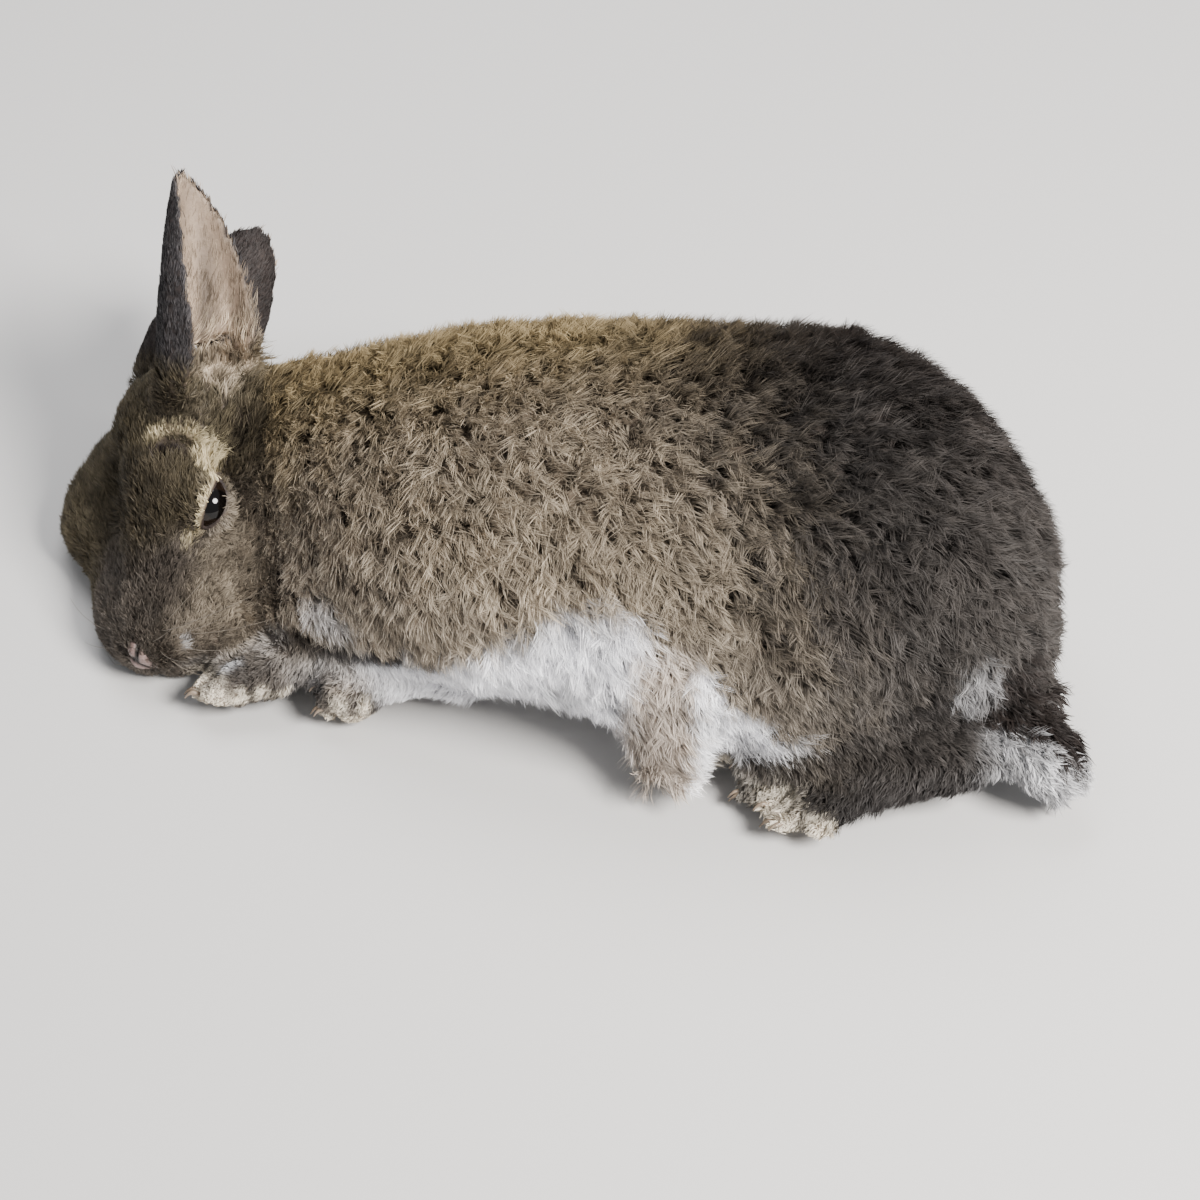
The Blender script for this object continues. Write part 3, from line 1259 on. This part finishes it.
class RABBIT_OT_eyes(bpy.types.Operator):
    """Make each eyeball, with its dark iris and pupil"""
    bl_idname = "rabbit.eyes"
    bl_label = "Eyes"

    def execute(self, context):
        radius = settings("shape").eye_radius
        for node in EYES:
            eye = EyeFrame(node)
            ball = bmesh.new()
            bmesh.ops.create_uvsphere(ball, u_segments=48, v_segments=32, radius=radius)
            for vertex in ball.verts:
                vertex.co *= 1 + CORNEA * smooth(0.6, 1.0, vertex.co.z / radius) / radius
            gaze = [vertex.co.z / radius for vertex in ball.verts]
            turn = Matrix(eye.axes.T.tolist()).to_4x4()
            bmesh.ops.transform(ball, matrix=Matrix.Translation(Vector(eye.centre)) @ turn, verts=ball.verts)
            bmesh.ops.recalc_face_normals(ball, faces=ball.faces)
            mesh = mesh_of(ball, "eyeball_" + node.split("_")[1])
            put_attribute(mesh, "gaze", gaze)
            finish_piece(new_object(mesh.name, mesh), eye_material(mesh.name), [node])
        return {"FINISHED"}


PAD_RISE, PAD_HEM = 0.0008, 0.0003  # the nose pad's height over the skin, and how far its hem lies under it


class RABBIT_OT_nose(bpy.types.Operator):
    """Make the bare pad of the nose, a little proud of the skin"""
    bl_idname = "rabbit.nose"
    bl_label = "Nose"

    def execute(self, context):
        colours, facts = settings("colours"), STATE["facts"]
        pad = bmesh.new()
        pad.from_mesh(STATE["skin"].data)
        held = pad.verts.layers.float.new("held")
        for vertex, value in zip(pad.verts, blob(HEAD.local(facts.co), NOSE_PAD, PAD_RADII, 0.3)):
            vertex[held] = value
        bmesh.ops.delete(pad, geom=[vertex for vertex in pad.verts if vertex[held] < 0.02], context="VERTS")
        bmesh.ops.subdivide_edges(pad, edges=pad.edges, cuts=1, use_grid_fill=True)
        pad.normal_update()
        for vertex in pad.verts:
            vertex.co += vertex.normal * (PAD_RISE * math.sqrt(vertex[held]) - PAD_HEM)
        mesh = mesh_of(pad, "nose_pad")
        put_attribute(mesh, "deep", smooth(0.0004, 0.0012, groove_depth(coords(mesh))))
        finish_piece(new_object("nose_pad", mesh), self.material(colours))
        return {"FINISHED"}

    def material(self, colours):
        nodes = Nodes("nose_pad")
        grain = nodes.noise(1400.0)
        nodes.bump(grain, 0.3, 0.0002)
        lumps = nodes.span(nodes.noise(420.0, 2.0), 0.4, 0.56, 0.0, 0.9)
        pink = nodes.mix(lumps, tuple(colours.nose), srgb(104, 84, 78))
        pink = nodes.mix(nodes.span(grain, 0.35, 0.65, 0.0, 0.3), pink, srgb(190, 166, 160))
        return nodes.finish(nodes.mix(nodes.attribute("deep"), pink, tuple(colours.rim)), Roughness=0.42)


def tapered(name, lines, thick, thin, sides):
    """Smooth tapering rods along lines, as one mesh."""
    curve = bpy.data.curves.new(name, "CURVE")
    curve.dimensions = "3D"
    curve.bevel_depth = 1.0
    curve.bevel_resolution = sides
    curve.use_fill_caps = True
    for line in lines:
        spline = curve.splines.new("POLY")
        spline.points.add(len(line) - 1)
        for k, (point, place) in enumerate(zip(spline.points, line)):
            t = k / (len(line) - 1)
            point.co = (*place, 1)
            point.radius = thick + (thin - thick) * t ** 1.3
    made = new_object(name, curve)
    mesh = bpy.data.meshes.new_from_object(made.evaluated_get(bpy.context.evaluated_depsgraph_get()))
    bpy.data.objects.remove(made)
    mesh.name = name
    shade_smooth(mesh)
    return new_object(name, mesh)


CLAW_ROOM = 0.0035  # half width of the skin that a claw's toe is looked for in
CLAW_BASE, CLAW_TIP = 0.00095, 0.00018  # a claw's radius
CLAW_ROOT = 0.0015  # how deep in the toe it starts


class RABBIT_OT_claws(bpy.types.Operator):
    """Make the claws at the toes' ends"""
    bl_idname = "rabbit.claws"
    bl_label = "Claws"

    def execute(self, context):
        facts = STATE["facts"]
        for node, foot in TOED.items():
            chosen = facts.co[share_of(facts.shares, node) > 0.6]
            ahead = unit(np.array(FLESH[node].lie) * (1, 1, 0))
            reach = (chosen - chosen.mean(0)) @ ahead
            front = chosen[reach > reach.max() - 0.02]
            off = front @ np.cross((0, 0, 1), ahead)
            lines = []
            for place in np.linspace(off.min() + 0.003, off.max() - 0.003, len(foot.short)):
                near = front[np.abs(off - place) < CLAW_ROOM]
                if len(near):
                    lines.append(self.claw_line(near[np.argmax(near @ ahead)] - ahead * CLAW_ROOT, ahead))
            piece = tapered("claws_" + node, lines, CLAW_BASE, CLAW_TIP, 3)
            finish_piece(piece, self.material(piece.name))
        return {"FINISHED"}

    def claw_line(self, start, ahead):
        """A claw's middle line: up a little from its toe, then down to a point."""
        t = np.linspace(0, 1, 7)[:, None]
        up = np.array([0, 0, 1])
        start[2] = max(start[2], 0.0022)
        line = start + ahead * settings("shape").claw_length * t * 0.9
        line = line + up * (0.0018 * np.sin(math.pi * 0.75 * t) - 0.0022 * t ** 2)
        line[:, 2] = np.maximum(line[:, 2], 0.0009)
        return line

    def material(self, name):
        nodes = Nodes(name)
        grain = nodes.noise(600.0, 4.0)
        nodes.bump(grain, 0.2, 0.0002)
        return nodes.finish(nodes.mix(grain, srgb(92, 78, 66), srgb(150, 134, 116)), Roughness=0.35)


WHISKER_ROWS = WHISKER_COLUMNS = 3  # on each whisker pad


class RABBIT_OT_whiskers(bpy.types.Operator):
    """Make the whiskers on both whisker pads"""
    bl_idname = "rabbit.whiskers"
    bl_label = "Whiskers"

    def execute(self, context):
        draw = np.random.default_rng(settings("coat").seed + 5)
        faces = [tuple(face.vertices) for face in STATE["skin"].data.polygons]
        skin = BVHTree.FromPolygons([Vector(place) for place in STATE["facts"].co], faces)
        sag = HEAD.direction(-0.8, 0, -0.25)
        t = np.linspace(0, 1, 14)[:, None]
        lines = []
        for side in (1, -1):
            for row in range(WHISKER_ROWS):
                for column in range(WHISKER_COLUMNS):
                    spot = HEAD.place(42 - 3.4 * column, side * (6.5 + 1.3 * column), -9.5 - 3.2 * row)
                    base = np.array(skin.find_nearest(Vector(spot))[0])
                    way = HEAD.direction(0.25 - 0.3 * column, side, 0.25 - 0.3 * row)
                    way = way + draw.normal(0, 0.12, 3)
                    long = settings("shape").whisker_length * draw.uniform(0.6, 1.0) * (0.75 + 0.1 * column)
                    line = base + unit(way) * long * t + sag * long * 0.28 * t ** 2
                    line[:, 2] = np.maximum(line[:, 2], 0.0012)
                    lines.append(line)
        nodes = Nodes("whiskers")
        tint = nodes.mix(nodes.noise(120.0), srgb(60, 52, 46), srgb(150, 140, 126))
        piece = tapered("whiskers", lines, 0.0001, 0.00003, 1)
        finish_piece(piece, nodes.finish(tint, Roughness=0.4))
        return {"FINISHED"}


def floor_thinning(facts):
    """Few hairs grow where the body rests on the floor."""
    return 1 - 0.88 * smooth(0.45, 0.8, -facts.normal[:, 2]) * fade(0.010, 0.018, facts.co[:, 2])


class RABBIT_OT_coat(bpy.types.Operator):
    """Grow the coat in locks over the whole skin"""
    bl_idname = "rabbit.coat"
    bl_label = "Coat"

    def execute(self, context):
        coat, facts, mesh = settings("coat"), STATE["facts"], STATE["skin"].data
        draw = np.random.default_rng(coat.seed)
        material = coat_material()

        def grow(name, places, plan):
            finish_piece(grow_locks(name, places, plan, facts, STATE["uvs"], draw), material)

        ears = share_of(facts.shares, *EARS)
        furry = (1 - facts.bare) * floor_thinning(facts) * (1 - ears)
        for name, nodes, count, slot, pieces, plan in (
            ("body", BARREL, coat.body_locks, "coat", 5, LockPlan(14, 0.00034, 0.0011, 2, 0.55, 0.5, 1.08)),
            ("head", FACE, coat.head_locks, "face_coat", 2, LockPlan(4, 0.00036, 0.0006, 2, 0.42, 0.35, 1.1)),
            ("legs", LEGS, coat.limb_locks, "leg_coat", 1, LockPlan(4, 0.0004, 0.0006, 2, 0.35, 0.2, 1.05)),
            ("tail", ("tail",), coat.tail_locks, "white_coat", 1, LockPlan(7, 0.00055, 0.0009, 3, 0.6, 0.3)),
        ):
            weight = furry * share_of(facts.wide, *nodes)
            places = scatter(mesh, np.where(weight < 0.02, 0, weight), count, draw)
            order = np.argsort(at_places(facts.co[:, 0], places[0], places[2]))  # from the head to the tail
            for k, chosen in enumerate(np.array_split(order, pieces)):
                label = f"coat_{name}" if pieces == 1 else f"coat_{name}_{k + 1}"
                grow(label, [values[chosen] for values in places], plan)
        back = ears * (1 - facts.inner)
        downy = ears * facts.inner * (0.2 + 0.8 * fade(0.3, 0.75, facts.ear_run))  # most near the root
        for name, weight, count, plan in (
            ("ears", back, coat.ear_locks, LockPlan(4, 0.00034, 0.00045, 2, 0.15, 0.05, 3.0)),
            ("ear_insides", downy, coat.ear_locks // 3, LockPlan(3, 0.00022, 0.0007, 2, 0.12, 0.1, 2.5, 1.7)),
        ):
            places = scatter(mesh, np.where(weight < 0.05, 0, weight), count, draw)
            grow(f"coat_{name}", places, plan)
        return {"FINISHED"}


class RABBIT_OT_stage(bpy.types.Operator):
    """Set the pale floor, the soft light and the camera"""
    bl_idname = "rabbit.stage"
    bl_label = "Stage"

    def execute(self, context):
        stage = settings("stage")
        floor = bmesh.new()
        bmesh.ops.create_grid(floor, x_segments=1, y_segments=1, size=6)
        ground = new_object("floor", mesh_of(floor, "floor"))
        nodes = Nodes("floor")
        material = nodes.finish(tuple(stage.floor_colour), Roughness=0.9, Specular_IOR_Level=0.1)
        ground.data.materials.append(material)
        self.lights(Vector(stage.aim))
        self.camera(stage)
        return {"FINISHED"}

    def lights(self, aim):
        world = bpy.data.worlds.new("studio")
        world.use_nodes = True
        sky = world.node_tree.nodes["Background"]
        sky.inputs["Color"].default_value = (0.95, 0.97, 1.0, 1)
        sky.inputs["Strength"].default_value = 0.52
        bpy.context.scene.world = world
        for name, place, size, power, tint in (
            ("key", (0.62, -0.5, 0.85), 0.45, 42.0, (1.0, 0.97, 0.93)),
            ("fill", (-0.1, 0.5, 1.1), 0.8, 13.0, (0.98, 0.98, 1.0)),
        ):
            light = bpy.data.lights.new(name, "AREA")
            light.shape = "DISK"
            light.size = size
            light.energy = power
            light.color = tint
            lamp = bpy.data.objects.new(name, light)
            lamp.location = place
            lamp.rotation_euler = (aim - Vector(place)).to_track_quat("-Z", "Y").to_euler()
            bpy.context.scene.collection.objects.link(lamp)

    def camera(self, stage):
        aim = Vector(stage.aim)
        back = Vector((0, -math.cos(stage.elevation), math.sin(stage.elevation)))
        data = bpy.data.cameras.new("camera")
        data.angle = stage.field
        data.clip_start = 0.01
        camera = bpy.data.objects.new("camera", data)
        camera.location = aim + back * stage.distance
        camera.rotation_euler = (-back).to_track_quat("-Z", "Y").to_euler()
        bpy.context.scene.collection.objects.link(camera)
        bpy.context.scene.camera = camera


class RABBIT_PT_panel(bpy.types.Panel):
    """Buttons for each part of the rabbit"""
    bl_idname = "RABBIT_PT_panel"
    bl_label = "Rabbit"
    bl_space_type = "VIEW_3D"
    bl_region_type = "UI"
    bl_category = "Rabbit"

    def draw(self, context):
        for operator in OPERATORS:
            self.layout.operator(operator.bl_idname)
        for group in GROUPS:
            box = self.layout.box()
            held = getattr(context.scene, group)
            for key in held.bl_rna.properties.keys():
                if key not in ("rna_type", "name"):
                    box.prop(held, key)


OPERATORS = (
    RABBIT_OT_skin, RABBIT_OT_eyes, RABBIT_OT_nose, RABBIT_OT_claws, RABBIT_OT_whiskers, RABBIT_OT_coat,
    RABBIT_OT_stage,
)
GROUPS = {
    "rabbit_shape": RabbitShape,
    "rabbit_coat": RabbitCoat,
    "rabbit_colours": RabbitColours,
    "rabbit_stage": RabbitStage,
}


def register():
    for group in GROUPS.values():
        bpy.utils.register_class(group)
    for name, group in GROUPS.items():
        setattr(bpy.types.Scene, name, bpy.props.PointerProperty(type=group))
    for item in (*OPERATORS, RABBIT_PT_panel):
        bpy.utils.register_class(item)


def unregister():
    for item in (RABBIT_PT_panel, *OPERATORS):
        bpy.utils.unregister_class(item)
    for name, group in GROUPS.items():
        delattr(bpy.types.Scene, name)
        bpy.utils.unregister_class(group)


def main():
    register()
    for operator in OPERATORS:
        group, name = operator.bl_idname.split(".")
        getattr(getattr(bpy.ops, group), name)()


if __name__ == "__main__":
    main()
